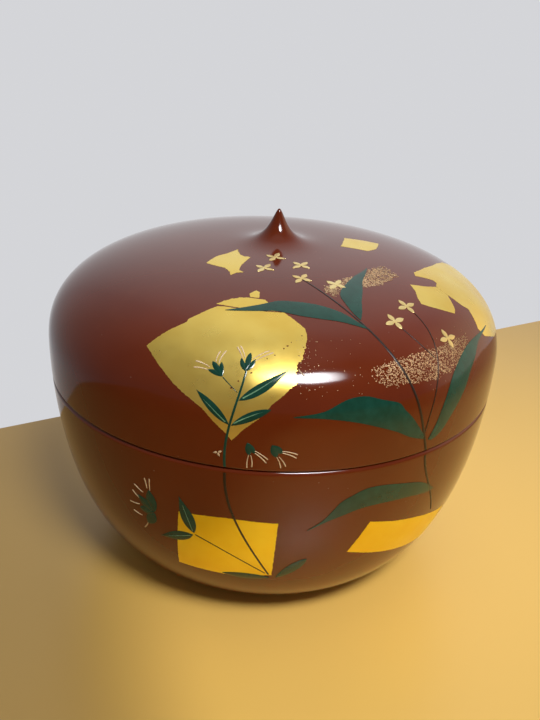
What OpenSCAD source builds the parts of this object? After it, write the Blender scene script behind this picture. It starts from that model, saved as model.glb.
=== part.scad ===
/* [Body] */
// Widest diameter of the closed caddy
max_d = 84; // [80:1:90]
// Height of the widest place above the table
max_z = 43; // [41:0.5:46]
// Height of the seam between body and lid
seam_z = 37.5; // [35:0.5:39]
// Diameter at which the round side runs out into the foot
foot_d = 44; // [40:1:50]
// Diameter of the hollow under the foot
foot_hollow_d = 36; // [30:1:38]
// Depth of the hollow under the foot
foot_hollow_h = 0.8; // [0.4:0.1:1.2]
// Height of the floor of the hollow above the table
floor_z = 3.45; // [3:0.05:5]

/* [Lid] */
// Rise of the crown above the widest place, without the point
crown_h = 17.6; // [16:0.2:20]
// Squareness of the crown, where 2 is an ellipse
crown_power = 2.65; // [2.2:0.05:3]
// Height of the point above the crown
point_h = 6.3; // [3:0.1:8]
// How fast the point flares out into the crown
point_flare = 2; // [1.5:0.1:3]
// Height of the roof of the lid's hollow above the widest place
roof_h = 14.8; // [13:0.2:15]

/* [Fit] */
// Inner diameter of the lip and of the mouth
mouth_d = 75.8; // [74:0.1:76]
// Wall thickness of the lip
lip_t = 1.3; // [1:0.1:1.4]
// Height of the lip above the seam
lip_h = 7; // [4:0.5:7]
// How deep the lip sits in the body
lip_depth = 6.45; // [4:0.05:8]
// Gap between the lip and the lid all round
lid_clearance = 0.1; // [0.05:0.01:0.2]
// Gap between body and lid at the seam
seam_gap = 0.1; // [0.05:0.01:0.2]
// Rounding of the body's edge at the seam
body_edge_r = 0.7; // [0.3:0.1:1]
// Rounding of the lid's edge at the seam
lid_edge_r = 0.4; // [0.2:0.1:0.6]

/* [Lacquer] */
// Thickness of the outer lacquer coats
outer_coat = 0.4; // [0.2:0.05:0.5]
// Thickness of the inner lacquer coats
inner_coat = 0.25; // [0.15:0.05:0.4]

/* [Ornament] */
// Thickness of the gold foil
foil_t = 0.04; // [0.03:0.01:0.06]
// Thickness of a painted stem
stem_t = 0.05; // [0.04:0.01:0.08]
// Thickness of a painted leaf, bud or floret
leaf_t = 0.08; // [0.05:0.01:0.12]
// Width of the thick stem
thick_stem_w = 0.5; // [0.4:0.1:1]
// Width of the thin stems
thin_stem_w = 0.35; // [0.3:0.05:0.6]
// Width of the stalks of the gold florets
stalk_w = 0.3; // [0.2:0.05:0.4]
// Width of a stamen
stamen_w = 0.28; // [0.2:0.02:0.4]
// Length of one petal of a gold floret
petal_l = 1.8; // [1.2:0.1:2.4]
// Width of one petal of a gold floret
petal_w = 0.75; // [0.4:0.05:1]

/* [Hidden] */
$fn = 96;

max_r = max_d / 2;
foot_r = foot_d / 2;
foot_hollow_r = foot_hollow_d / 2;
mouth_r = mouth_d / 2;
lip_r = mouth_r + lip_t;
bore_r = lip_r + lid_clearance;
body_top = seam_z - seam_gap / 2;
lid_bottom = seam_z + seam_gap / 2;
lip_bottom = body_top - lip_depth;
lip_top = seam_z + lip_h;
lip_edge_r = lip_t * 0.3;
// How far the side hangs straight down from the widest place, and how it runs out into the foot
side_drop = 7;
side_lean = 1;
side_run_out = 3;
// Lean and drop of the wall of the body's hollow, and its turn into the floor
hollow_lean = 0.6;
hollow_drop = 11;
hollow_turn = 3.9;
// Radius of the flat floor inside the body
floor_r = 19;
// Radius that blunts the very tip of the point
point_blunt = 0.6;
// Share of a coat's thickness by which the point gets lower under it
point_inset = 0.75;
// Angle up the crown at which its curve hands over to the point
crown_end = 78;
// Angles at which the rounded edges run out into the side
body_edge_angle = 15;
lid_edge_angle = -8;
// Thickness of the lacquer in the hollow under the foot
base_coat = 0.3;
// Height that keeps a stretch clear of the flat end of its curve
nudge = 0.001;
// Reach along the side over which its slope is taken
slope_reach = 0.6;
// Steps along each stretch of a section's outline
side_steps = 28;
crown_steps = 26;
point_steps = 14;
edge_steps = 6;

// Heights of the four layers of ornament above the lacquer, which clear each other's flat facets
foil_low = 0.08;
foil_high = foil_low + foil_t;
stem_low = 0.18;
stem_high = stem_low + stem_t;
leaf_low = 0.28;
leaf_high = leaf_low + leaf_t;
floret_low = 0.42;
// How fast a blade widens from its base
blade_rise = 0.85;
// Half width of a blade's blunt ends
blade_blunt = 0.04;
// Share of its width that a fine stem or a stamen keeps at its thin end
fine_share = 0.8;
// Gap between a floret's petals at its middle
petal_gap = 0.3;

// Colours
lacquer_red = [0.36, 0.12, 0.06];
lacquer_black = [0.06, 0.05, 0.05];
wood = [0.72, 0.56, 0.36];
gold = [0.86, 0.70, 0.30];
deep_gold = [0.88, 0.64, 0.10];
gold_dust = [0.72, 0.52, 0.26];
leaf_green = [0.10, 0.30, 0.24];
stem_brown = [0.18, 0.10, 0.06];
cream = [0.92, 0.82, 0.66];

// --- Curves -------------------------------------------------------------

function mix(a, b, t) = a + (b - a) * t;

function bezier(p, t) =
    pow(1 - t, 3) * p[0] + 3 * pow(1 - t, 2) * t * p[1]
    + 3 * (1 - t) * t * t * p[2] + pow(t, 3) * p[3];

// Place along a falling curve at which it reaches height z
function time_at(p, z, low = 0, high = 1, left = 30) =
    left == 0 ? (low + high) / 2
    : let (middle = (low + high) / 2)
      bezier(p, middle)[1] > z
      ? time_at(p, z, middle, high, left - 1)
      : time_at(p, z, low, middle, left - 1);

// Stretch of a falling curve from one height to another, either way
function stretch(p, z_from, z_to, steps) =
    let (a = time_at(p, z_from), b = time_at(p, z_to))
    [for (i = [0 : steps]) bezier(p, mix(a, b, i / steps))];

// Side of the caddy from the widest place down to the foot, inset by a coat
function side(inset) = [
    [max_r - inset, max_z],
    [max_r - inset, max_z - side_drop],
    [max_r - side_lean - inset, side_run_out + inset],
    [foot_r, inset]
];

// Inside of the body from the foot of the lip down to the floor
function hollow(grow) = [
    [mouth_r + grow, lip_bottom],
    [mouth_r - hollow_lean + grow, lip_bottom - hollow_drop],
    [mouth_r - hollow_turn + grow, floor_z - grow],
    [floor_r, floor_z - grow]
];

// Point on a squared dome at angle v up from its rim
function dome(r, h, v) = [r * pow(cos(v), 2 / crown_power), max_z + h * pow(sin(v), 2 / crown_power)];

function point_rise(r, h) =
    h * exp(-(sqrt(r * r + point_blunt * point_blunt) - point_blunt) / point_flare);

// Crown and point from the widest place up to the tip
function crown(inset) =
    let (r = max_r - inset, h = crown_h - inset, tip = point_h - point_inset * inset)
    let (last = dome(r, h, crown_end))
    concat(
        [for (i = [0 : crown_steps])
            let (p = dome(r, h, crown_end * i / crown_steps)) [p[0], p[1] + point_rise(p[0], tip)]],
        [for (i = [1 : point_steps])
            let (x = last[0] * pow(1 - i / point_steps, 2))
            [x, max_z + h * pow(1 - pow(x / r, crown_power), 1 / crown_power) + point_rise(x, tip)]]
    );

// Smooth roof of the lid's hollow, from its rim to the axis
function roof(grow) = [for (i = [0 : crown_steps]) dome(bore_r + grow, roof_h + grow, 90 * i / crown_steps)];

function backwards(p) = [for (i = [len(p) - 1 : -1 : 0]) p[i]];

// Quarter circle that rounds a corner
function rounding(centre, r, from, to) =
    [for (i = [0 : edge_steps])
        let (v = mix(from, to, i / edge_steps)) centre + r * [cos(v), sin(v)]];

function side_r(inset, z) = bezier(side(inset), time_at(side(inset), z))[0];

// --- Surface chart: azimuth in degrees, and length up the side from the seam ---

outline = concat(stretch(side(0), nudge, max_z, side_steps), [for (i = [1 : len(crown(0)) - 1]) crown(0)[i]]);

function running_length(p) =
    [for (i = 0, sum = 0; i < len(p);
        sum = sum + (i + 1 < len(p) ? norm(p[i + 1] - p[i]) : 0), i = i + 1) sum];

outline_length = running_length(outline);
seam_length = lookup(seam_z, [for (i = [0 : len(outline) - 1]) [outline[i][1], outline_length[i]]]);
radius_table = [for (i = [0 : len(outline) - 1]) [outline_length[i] - seam_length, outline[i][0]]];
height_table = [for (i = [0 : len(outline) - 1]) [outline_length[i] - seam_length, outline[i][1]]];

function shell_r(s) = lookup(s, radius_table);
function shell_z(s) = lookup(s, height_table);

// Outward normal of the shell in the section's plane
function shell_normal(s) =
    let (d = [shell_r(s + slope_reach) - shell_r(s - slope_reach),
        shell_z(s + slope_reach) - shell_z(s - slope_reach)])
    [d[1], -d[0]] / norm(d);

// Point at azimuth a and length s, raised above the lacquer
function on_shell(p, raise) =
    let (n = shell_normal(p[1]), r = shell_r(p[1]) + raise * n[0], z = shell_z(p[1]) + raise * n[1])
    [r * sin(p[0]), -r * cos(p[0]), z];

// Shift in the chart that moves a point by millimetres across and up
function shift(p, across, up) = [across / (shell_r(p[1]) * PI / 180), up];

// --- Relief on the shell ---------------------------------------------------

function flat_cross(a, b) = a[0] * b[1] - a[1] * b[0];

function total(list, i = 0) = i == len(list) ? 0 : list[i] + total(list, i + 1);

// Positive where a grid's rows and columns turn the same way as azimuth and height
function grid_turn(grid) = total([
    for (i = [0 : len(grid) - 2])
        flat_cross(grid[i][len(grid[0]) - 1] - grid[i][0], grid[i + 1][0] - grid[i][0])
        + flat_cross(grid[i + 1][len(grid[0]) - 1] - grid[i + 1][0], grid[i + 1][0] - grid[i][0])
]);

// Closed thin solid over a grid of chart points
module relief(grid, low, high) {
    rows = len(grid);
    cols = len(grid[0]);
    count = rows * cols;
    points = concat(
        [for (row = grid) for (p = row) on_shell(p, high)],
        [for (row = grid) for (p = row) on_shell(p, low)]
    );
    rim = concat(
        [for (j = [0 : cols - 1]) j],
        [for (i = [1 : rows - 1]) i * cols + cols - 1],
        [for (j = [cols - 2 : -1 : 0]) (rows - 1) * cols + j],
        [for (i = [rows - 2 : -1 : 1]) i * cols]
    );
    cells = [for (i = [0 : rows - 2]) for (j = [0 : cols - 2]) i * cols + j];
    skin = concat(
        [for (c = cells) [c, c + cols + 1, c + 1]],
        [for (c = cells) [c, c + cols, c + cols + 1]],
        [for (c = cells) [c + count, c + 1 + count, c + cols + 1 + count]],
        [for (c = cells) [c + count, c + cols + 1 + count, c + cols + count]],
        [for (k = [0 : len(rim) - 1])
            let (a = rim[k], b = rim[(k + 1) % len(rim)]) [a, b, b + count]],
        [for (k = [0 : len(rim) - 1])
            let (a = rim[k], b = rim[(k + 1) % len(rim)]) [a, b + count, a + count]]
    );
    faces = grid_turn(grid) > 0 ? skin : [for (f = skin) backwards(f)];
    polyhedron(points, faces);
}

// Foil between two torn edges. A row is [left azimuth, left height, right azimuth, right height].
module foil(rows, steps, cols) {
    fine = concat(
        [for (i = [0 : len(rows) - 2]) for (k = [0 : steps - 1]) mix(rows[i], rows[i + 1], k / steps)],
        [rows[len(rows) - 1]]
    );
    relief(
        [for (row = fine) [for (j = [0 : cols])
            mix([row[0], row[1]], [row[2], row[3]], j / cols)]],
        foil_low, foil_high
    );
}

// Chart point beside a midline, at a distance to its left
function beside(p, t, distance) =
    let (c = bezier(p, t), e = bezier(p, t + 0.01), b = bezier(p, t - 0.01))
    let (per_degree = shell_r(c[1]) * PI / 180)
    let (d = [(e[0] - b[0]) * per_degree, e[1] - b[1]])
    let (n = [-d[1], d[0]] / norm(d))
    c + shift(c, n[0] * distance, n[1] * distance);

// Share of a blade's width at t, which is 1 at its belly and 0 at base and tip
function blade(t, belly) =
    let (fall = blade_rise * (1 - belly) / belly)
    pow(t, blade_rise) * pow(1 - t, fall) / (pow(belly, blade_rise) * pow(1 - belly, fall));

// Leaf along a midline from its base to its tip
module leaf(midline, width, belly = 0.4, steps = 20, half_cols = 2, low = leaf_low) {
    relief(
        [for (i = [0 : steps])
            let (t = i / steps, half = max(blade_blunt, width / 2 * blade(t, belly)))
            [for (j = [-half_cols : half_cols]) beside(midline, t, half * j / half_cols)]],
        low, low + leaf_t
    );
}

// Midline of a short straight blade
function straight(a, b) = [a, mix(a, b, 1 / 3), mix(a, b, 2 / 3), b];

module small_leaf(base, tip, width, belly = 0.4, low = leaf_low) {
    leaf(straight(base, tip), width, belly, 6, 1, low);
}

// Ribbon of paint that thins out along its midline
module stem(midline, width, end_width, steps, low = stem_low, high = stem_high) {
    relief(
        [for (i = [0 : steps])
            let (t = i / steps, half = mix(width, end_width, t) / 2)
            [beside(midline, t, -half), beside(midline, t, half)]],
        low, high
    );
}

// Hair-thin stamen from a bud
module stamen(from, to) {
    stem(straight(from, to), stamen_w, stamen_w * fine_share, 3, leaf_low, leaf_high);
}

// Four petals round a point, a little apart at the middle
module floret(centre, turn) {
    for (k = [0 : 3]) {
        u = [cos(turn + 90 * k), sin(turn + 90 * k)];
        small_leaf(centre + shift(centre, u[0] * petal_gap, u[1] * petal_gap),
            centre + shift(centre, u[0] * petal_l, u[1] * petal_l), petal_w, 0.6, floret_low);
    }
}

// --- Body -----------------------------------------------------------------------

module body_core() color(wood) rotate_extrude() polygon(concat(
    [[foot_hollow_r, foot_hollow_h + base_coat], [foot_hollow_r, 0], [foot_r - outer_coat, 0],
        [foot_r - outer_coat, outer_coat]],
    stretch(side(outer_coat), outer_coat + nudge, body_top - outer_coat, side_steps),
    [[lip_r, body_top - outer_coat], [lip_r, lip_bottom]],
    stretch(hollow(inner_coat), lip_bottom, floor_z - inner_coat + nudge, side_steps),
    [[0, floor_z - inner_coat], [0, foot_hollow_h + base_coat]]
));

module body_outer_lacquer() {
    edge = side_r(0, body_top - body_edge_r) - body_edge_r;
    color(lacquer_red) rotate_extrude() polygon(concat(
        [[foot_r - outer_coat, outer_coat], [foot_r - outer_coat, 0]],
        stretch(side(0), nudge, body_top - body_edge_r, side_steps),
        rounding([edge, body_top - body_edge_r], body_edge_r, body_edge_angle, 90),
        [[lip_r, body_top], [lip_r, body_top - outer_coat]],
        backwards(stretch(side(outer_coat), outer_coat + nudge, body_top - outer_coat, side_steps))
    ));
}

module body_inner_lacquer() color(lacquer_black) rotate_extrude() polygon(concat(
    stretch(hollow(0), lip_bottom, floor_z + nudge, side_steps),
    [[0, floor_z], [0, floor_z - inner_coat]],
    backwards(stretch(hollow(inner_coat), lip_bottom, floor_z - inner_coat + nudge, side_steps))
));

module base_lacquer() color(lacquer_black)
    translate([0, 0, foot_hollow_h]) cylinder(r = foot_hollow_r, h = base_coat);

module lip_ring() color(lacquer_black) rotate_extrude() polygon(concat(
    [[mouth_r, lip_bottom], [lip_r, lip_bottom]],
    rounding([lip_r - lip_edge_r, lip_top - lip_edge_r], lip_edge_r, 0, 90),
    rounding([mouth_r + lip_edge_r, lip_top - lip_edge_r], lip_edge_r, 90, 180)
));

// --- Lid --------------------------------------------------------------------------

module lid_core() color(wood) rotate_extrude() polygon(concat(
    [[bore_r + inner_coat, lid_bottom + outer_coat]],
    stretch(side(outer_coat), lid_bottom + outer_coat, max_z, edge_steps),
    [for (i = [1 : crown_steps + point_steps]) crown(outer_coat)[i]],
    backwards(roof(inner_coat))
));

module lid_outer_lacquer() {
    edge = side_r(0, lid_bottom + lid_edge_r) - lid_edge_r;
    color(lacquer_red) rotate_extrude() polygon(concat(
        [[bore_r + inner_coat, lid_bottom + outer_coat], [bore_r + inner_coat, lid_bottom]],
        rounding([edge, lid_bottom + lid_edge_r], lid_edge_r, -90, lid_edge_angle),
        stretch(side(0), lid_bottom + lid_edge_r, max_z, edge_steps),
        [for (i = [1 : crown_steps + point_steps]) crown(0)[i]],
        backwards([for (i = [1 : crown_steps + point_steps]) crown(outer_coat)[i]]),
        backwards(stretch(side(outer_coat), lid_bottom + outer_coat, max_z, edge_steps))
    ));
}

module lid_inner_lacquer() color(lacquer_black) rotate_extrude() polygon(concat(
    [[bore_r, lid_bottom]],
    roof(0),
    backwards(roof(inner_coat)),
    [[bore_r + inner_coat, lid_bottom]]
));

// --- Gold on the lid ----------------------------------------------------------------

// Large fan of foil that spreads upwards from its lower tip
module lid_fan_foil() color(gold) foil([
    [-7.8, 5.4, -6.8, 5.4],
    [-13.7, 9.7, -2, 9],
    [-20.2, 12.3, 1.5, 11.8],
    [-28, 16, 5.5, 15],
    [-30, 17, 6, 17],
    [-28.8, 18.4, 7.4, 18.8],
    [-27, 20.4, 8.4, 20.8],
    [-23.7, 22.9, 8.9, 22.8],
    [-21.8, 24.8, 7.4, 24.9],
    [-19.8, 26.5, 5, 26.5],
    [-17, 27.6, 2.5, 27.6]
], 2, 10);

// Strip torn off the top of the fan
module lid_torn_foil() color(gold) foil([
    [-18.6, 28.2, 2, 28.3],
    [-16.5, 29.4, -1, 29.5],
    [-13, 30.5, -3, 30.5],
    [-9.5, 31, -4.5, 31]
], 1, 6);

module lid_foil_flake() color(gold) foil([
    [-9, 31.4, -5.6, 31.4],
    [-9.7, 32.1, -5.8, 32.2],
    [-8.2, 33.2, -6.3, 33]
], 1, 2);

// Torn star high on the left of the crown
module lid_crown_foil() color(gold) foil([
    [-49, 43, -50.6, 47],
    [-44.3, 39.1, -41, 46],
    [-37, 39.3, -33.5, 45.5],
    [-30.6, 39.3, -27, 45.6],
    [-25.7, 38.4, -24.4, 42],
    [-21.8, 38.2, -20.5, 39.7]
], 3, 4);

module lid_back_foil() color(gold) foil([
    [88, 39.4, 90, 44.4],
    [95, 37.7, 98, 44],
    [106, 36.4, 113, 42.6]
], 4, 4);

// Folded sheet of foil that wraps round the right of the lid
module lid_side_foil() color(gold) foil([
    [76, 11.3, 88, 11.3],
    [66, 13.5, 99.5, 13.3],
    [63.4, 15.8, 104.5, 16],
    [67.4, 19.2, 104, 19.6],
    [66.9, 22.5, 101.5, 22.5],
    [68.2, 25.6, 94.5, 25.6],
    [72, 27.2, 88, 27.4],
    [70.5, 29, 81, 29],
    [71, 30.3, 74, 30.3]
], 2, 12);

module lid_corner_foil() color(gold) foil([
    [59, 20.7, 60.8, 20.8],
    [55.6, 22.4, 63.2, 22.2],
    [52.4, 24.3, 66, 24.2],
    [54, 26.7, 66.3, 26.3],
    [57.5, 28.2, 62, 28],
    [59, 29.2, 60, 29.2]
], 2, 4);

// Sprinkled gold, as a thin field
module lid_upper_dust() color(gold_dust) foil([
    [20.5, 32.8, 20.5, 34.2],
    [29, 32.6, 29, 36.2],
    [38, 32.9, 38, 36.6],
    [48, 32.1, 48, 36.4],
    [55, 32.4, 55, 37],
    [66, 34.5, 67, 36.2]
], 5, 4);

module lid_lower_dust() color(gold_dust) foil([
    [22.5, 13.8, 22, 15.5],
    [27, 12.7, 27, 16.6],
    [33, 12.8, 33, 17],
    [40, 12.4, 40, 17],
    [46, 12.8, 46, 16.6],
    [52.5, 14, 52.5, 15.4]
], 3, 7);

// --- Plants on the lid -----------------------------------------------------------------

module lid_thick_stem() color(stem_brown)
    stem([[14, 38], [24, 31], [29, 18], [37, 0.6]], thin_stem_w, thick_stem_w, 30);

module lid_long_leaf() color(leaf_green)
    leaf([[28, 22], [16, 29.9], [1, 30.4], [-15, 27]], 3.6, 0.46);

module lid_upright_leaf() color(leaf_green)
    leaf([[26, 25], [27, 33], [38, 35], [53, 36.8]], 3.7, 0.34, 16);

module lid_broad_leaf() color(leaf_green)
    leaf([[36, 3], [27, 9.5], [16, 11.5], [4, 9.3]], 4.6, 0.4);

module lid_side_leaf() color(leaf_green)
    leaf([[37.5, 2.6], [42, 10], [52, 16], [69, 15]], 4.4, 0.32);

module lid_florets() color(gold) {
    floret([-2, 47.1], 70);
    floret([-8, 41.9], 68);
    floret([19, 43.4], 32);
    floret([13.6, 38.1], 50);
    floret([28, 35.1], 35);
    floret([45, 25.7], 0);
    floret([36, 23.4], 4);
    floret([48.3, 17.5], -5);
}

module lid_floret_stalks() color(stem_brown) {
    stem([[45, 24.6], [45, 17], [37.5, 13], [35.8, 7.8]], stalk_w, stalk_w, 20);
    stem([[36.4, 21.8], [37.5, 19.5], [39.2, 17], [40.3, 15.6]], stalk_w, stalk_w, 8);
}

// Small flowering sprig over the fan
module lid_sprig_stem() color(leaf_green)
    stem([[-5.4, 15.8], [-6, 11], [-9.5, 6], [-8.5, 0.6]], thin_stem_w * fine_share, thin_stem_w, 14);

module lid_sprig_leaves() color(leaf_green) {
    small_leaf([-6.3, 11.6], [4, 16.5], 1.5, 0.38);
    small_leaf([-8, 7.6], [-15.2, 12.1], 1.2, 0.42);
    small_leaf([-7.4, 7.6], [0.4, 10.5], 1.3, 0.5);
}

module lid_sprig_buds() color(leaf_green) {
    small_leaf([-5.4, 16], [-5.2, 18.6], 1.5, 0.4);
    small_leaf([-10.2, 14.7], [-13, 16.4], 1.7, 0.4);
}

module lid_sprig_stamens() color(cream) {
    stamen([-6.6, 18], [-8.4, 19.7]);
    stamen([-5.9, 18.5], [-7.4, 19.9]);
    stamen([-4.4, 18.2], [-0.4, 19.6]);
    stamen([-4.1, 17.5], [0, 18.8]);
    stamen([-13.4, 16.1], [-16.8, 15.7]);
    stamen([-12.9, 15.3], [-16.6, 14.7]);
    stamen([-12.2, 17], [-11.8, 18.7]);
    stamen([-11.3, 16.6], [-10.4, 18.9]);
}

// Pair of buds that hang just above the seam
module lid_hanging_buds() color(leaf_green) {
    small_leaf([-4, 5], [-3, 3], 1.5, 0.5);
    small_leaf([1, 4.9], [2.4, 3], 1.9, 0.5);
}

module lid_hanging_stamens() color(cream) {
    stamen([-3.5, 2.6], [-3.9, 0.6]);
    stamen([-2.8, 2.5], [-2.7, 0.7]);
    stamen([-2.2, 3], [0, 1.6]);
    stamen([-2, 3.5], [0.3, 2.2]);
    stamen([2.5, 2.5], [3, 0.8]);
    stamen([3, 2.9], [4, 1.1]);
    stamen([3.4, 3.5], [6.1, 2.6]);
    stamen([3.4, 4.1], [6.3, 3.3]);
}

module lid_speck_floret() color(cream) {
    small_leaf([-9.9, 2.8], [-9.2, 3.1], 0.35);
    small_leaf([-10.2, 2.8], [-10.9, 2.6], 0.35);
    small_leaf([-10, 2.5], [-9.6, 2.1], 0.35);
}

// --- Gold and plants on the body -----------------------------------------------------------

module body_square_foil() color(deep_gold) foil([
    [-20, -10.2, 4.3, -10.2],
    [-21, -17, 3.6, -17],
    [-22.7, -24.2, 3, -23.8]
], 4, 7);

module body_slant_foil() color(deep_gold) foil([
    [22, -19, 26, -12.2],
    [33, -21.8, 36, -14.4],
    [44, -24.4, 46, -16.6],
    [55, -26.6, 57, -18.8]
], 3, 5);

module body_thick_stem() color(stem_brown)
    stem([[37.2, -0.9], [38, -5], [43, -9], [47, -15.5]], thick_stem_w, thin_stem_w, 12);

module body_long_leaf() color(leaf_green)
    leaf([[44, -9.5], [34, -5.5], [19, -4], [10, -12]], 4, 0.6);

module body_thin_stems() color(stem_brown) {
    stem([[-8.5, -0.9], [-8.8, -8], [-4, -14], [2, -23.6]], thick_stem_w, thin_stem_w * fine_share, 18);
    stem([[-15.8, -15], [-10, -16.9], [-4, -20], [1.1, -23.2]], thin_stem_w * fine_share, thin_stem_w * fine_share, 12);
}

module body_sprig_leaves() color(leaf_green) {
    small_leaf([-16, -14.6], [-19, -7.2], 2.2);
    small_leaf([-16.4, -15.2], [-25.4, -17.8], 2);
}

module body_foot_leaves() color(leaf_green) {
    small_leaf([4, -24.6], [11, -19], 2, 0.55);
    small_leaf([2.4, -24.6], [-10, -24.4], 1.8, 0.5);
}

module body_side_bud() color(leaf_green)
    small_leaf([-28.6, -14.6], [-26, -8.8], 1.9, 0.5);

module body_side_stamens() color(cream) {
    stamen([-26.4, -8], [-27, -5.8]);
    stamen([-25.8, -8.2], [-25.8, -6]);
    stamen([-28.1, -9.6], [-31.4, -8.8]);
    stamen([-28.9, -11.4], [-32.8, -11.6]);
    stamen([-29.4, -13], [-32.2, -13.9]);
    stamen([-29.4, -14.8], [-30.2, -16.8]);
}

body_core();
body_outer_lacquer();
body_inner_lacquer();
base_lacquer();
lip_ring();
lid_core();
lid_outer_lacquer();
lid_inner_lacquer();
lid_fan_foil();
lid_torn_foil();
lid_foil_flake();
lid_crown_foil();
lid_back_foil();
lid_side_foil();
lid_corner_foil();
lid_upper_dust();
lid_lower_dust();
lid_thick_stem();
lid_long_leaf();
lid_upright_leaf();
lid_broad_leaf();
lid_side_leaf();
lid_florets();
lid_floret_stalks();
lid_sprig_stem();
lid_sprig_leaves();
lid_sprig_buds();
lid_sprig_stamens();
lid_hanging_buds();
lid_hanging_stamens();
lid_speck_floret();
body_square_foil();
body_slant_foil();
body_thick_stem();
body_long_leaf();
body_thin_stems();
body_sprig_leaves();
body_foot_leaves();
body_side_bud();
body_side_stamens();
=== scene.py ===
"""Looks of a lacquered tea caddy: turned shells, torn gold foil, sprinkled gold and painted plants."""
import math
import random

import bmesh
import bpy
import numpy as np
from mathutils import Matrix, Vector, noise
from mathutils.geometry import delaunay_2d_cdt


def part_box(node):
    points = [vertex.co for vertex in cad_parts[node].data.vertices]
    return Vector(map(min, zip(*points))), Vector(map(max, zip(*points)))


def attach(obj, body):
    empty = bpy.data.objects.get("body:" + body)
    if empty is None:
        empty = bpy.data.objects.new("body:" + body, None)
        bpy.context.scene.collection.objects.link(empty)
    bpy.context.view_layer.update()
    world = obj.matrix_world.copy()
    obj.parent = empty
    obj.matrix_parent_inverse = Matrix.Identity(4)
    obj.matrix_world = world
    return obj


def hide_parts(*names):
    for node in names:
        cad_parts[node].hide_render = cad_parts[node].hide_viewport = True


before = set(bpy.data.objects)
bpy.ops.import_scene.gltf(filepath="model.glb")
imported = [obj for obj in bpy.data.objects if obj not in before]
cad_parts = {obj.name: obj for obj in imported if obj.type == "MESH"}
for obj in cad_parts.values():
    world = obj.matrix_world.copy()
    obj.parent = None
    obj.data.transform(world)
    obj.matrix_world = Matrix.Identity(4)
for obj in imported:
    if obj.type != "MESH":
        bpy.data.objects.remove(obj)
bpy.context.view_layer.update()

# --- Sizes, in millimetres --------------------------------

MM = 0.001
BOX_GRID = 20


def box_mm(node):
    """Lowest and highest corners of a CAD node, to a twentieth of a millimetre."""
    return [[round(value / MM * BOX_GRID) / BOX_GRID for value in corner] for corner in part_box(node)]


LID_LOW, LID_HIGH = box_mm("lid_outer_lacquer")
LIP_LOW, LIP_HIGH = box_mm("lip_ring")
BASE_LOW, BASE_HIGH = box_mm("base_lacquer")
BODY_TOP = box_mm("body_outer_lacquer")[1][2]
HOLLOW_BOTTOM = box_mm("body_inner_lacquer")[0][2]
ROOF_HIGH = box_mm("lid_inner_lacquer")[1]

# The sizes that no box gives are those of the CAD model
MAX_R = LID_HIGH[0]
MAX_Z = 43.0
SIDE_DROP = 7.0
SIDE_LEAN = 1.0
SIDE_RUN_OUT = 3.0
LID_BOTTOM = LID_LOW[2]
SEAM_Z = (LID_BOTTOM + BODY_TOP) / 2
CROWN_H = 17.6
CROWN_POWER = 2.65
CROWN_END = 78.0
POINT_H = LID_HIGH[2] - MAX_Z - CROWN_H
POINT_FLARE = 2.0
POINT_BLUNT = 0.6
POINT_INSET = 0.75
FOOT_R = 22.0
FOOT_HOLLOW_R = BASE_HIGH[0]
LIP_R = LIP_HIGH[0]
LIP_BOTTOM = LIP_LOW[2]
LIP_TOP = LIP_HIGH[2]
LIP_T = 1.3
LIP_EDGE_R = 0.39
MOUTH_R = LIP_R - LIP_T
OUTER_COAT = 0.4
INNER_COAT = 0.25
BORE_R = ROOF_HIGH[0] - INNER_COAT
ROOF_H = ROOF_HIGH[2] - INNER_COAT - MAX_Z
HOLLOW_LEAN = 0.6
HOLLOW_DROP = 11.0
HOLLOW_TURN = 3.9
FLOOR_Z = HOLLOW_BOTTOM + INNER_COAT
FLOOR_R = 19.0
BODY_EDGE_R = 0.7
LID_EDGE_R = 0.4

# Sides of a turned piece, and steps along the stretches of its section
SEGMENTS = 288
SAMPLES = 4000
CHART_STEPS = 260
BODY_STEPS = 110
CORE_STEPS = 80
HOLLOW_STEPS = 90
LINING_STEPS = 60
LID_STEPS = 16
LID_CORE_STEPS = 12
CROWN_STEPS = 90
POINT_STEPS = 60
ROOF_STEPS = 60
EDGE_STEPS = 8

# Degrees between two faces past which their edge is drawn sharp
WOOD_SHARP = 35
COAT_SHARP = 50
RELIEF_SHARP = 60
FLAKE_SHARP = 10

# --- Section curves, the same as the CAD model's ----------


def bezier(points, t):
    """Points on a cubic curve at an array of times."""
    p = np.array(points, float)
    t = np.asarray(t, float)[:, None]
    return (1 - t) ** 3 * p[0] + 3 * (1 - t) ** 2 * t * p[1] + 3 * (1 - t) * t * t * p[2] + t**3 * p[3]


def stretch(points, z_from, z_to, steps):
    """Stretch of a falling curve between two heights, either way."""
    t = np.linspace(0, 1, SAMPLES + 1)
    z = bezier(points, t)[:, 1]
    ends = np.interp([z_from, z_to], z[::-1], t[::-1])
    return bezier(points, np.linspace(ends[0], ends[1], steps + 1))


def side(inset):
    """Side of the caddy from its widest place down to the foot."""
    return [
        (MAX_R - inset, MAX_Z),
        (MAX_R - inset, MAX_Z - SIDE_DROP),
        (MAX_R - SIDE_LEAN - inset, SIDE_RUN_OUT + inset),
        (FOOT_R, inset),
    ]


def side_r(z):
    """Radius of the side at a height."""
    return stretch(side(0), z, z - 1, 1)[0][0]


def hollow(grow):
    """Inside of the body from under the lip down to the floor."""
    return [
        (MOUTH_R + grow, LIP_BOTTOM),
        (MOUTH_R - HOLLOW_LEAN + grow, LIP_BOTTOM - HOLLOW_DROP),
        (MOUTH_R - HOLLOW_TURN + grow, FLOOR_Z - grow),
        (FLOOR_R, FLOOR_Z - grow),
    ]


def dome(r, h, degrees):
    """Squared dome from its rim at 0 degrees to its top at 90."""
    v = np.radians(degrees)
    power = 2 / CROWN_POWER
    return np.stack([r * np.cos(v).clip(0) ** power, MAX_Z + h * np.sin(v) ** power], 1)


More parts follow.
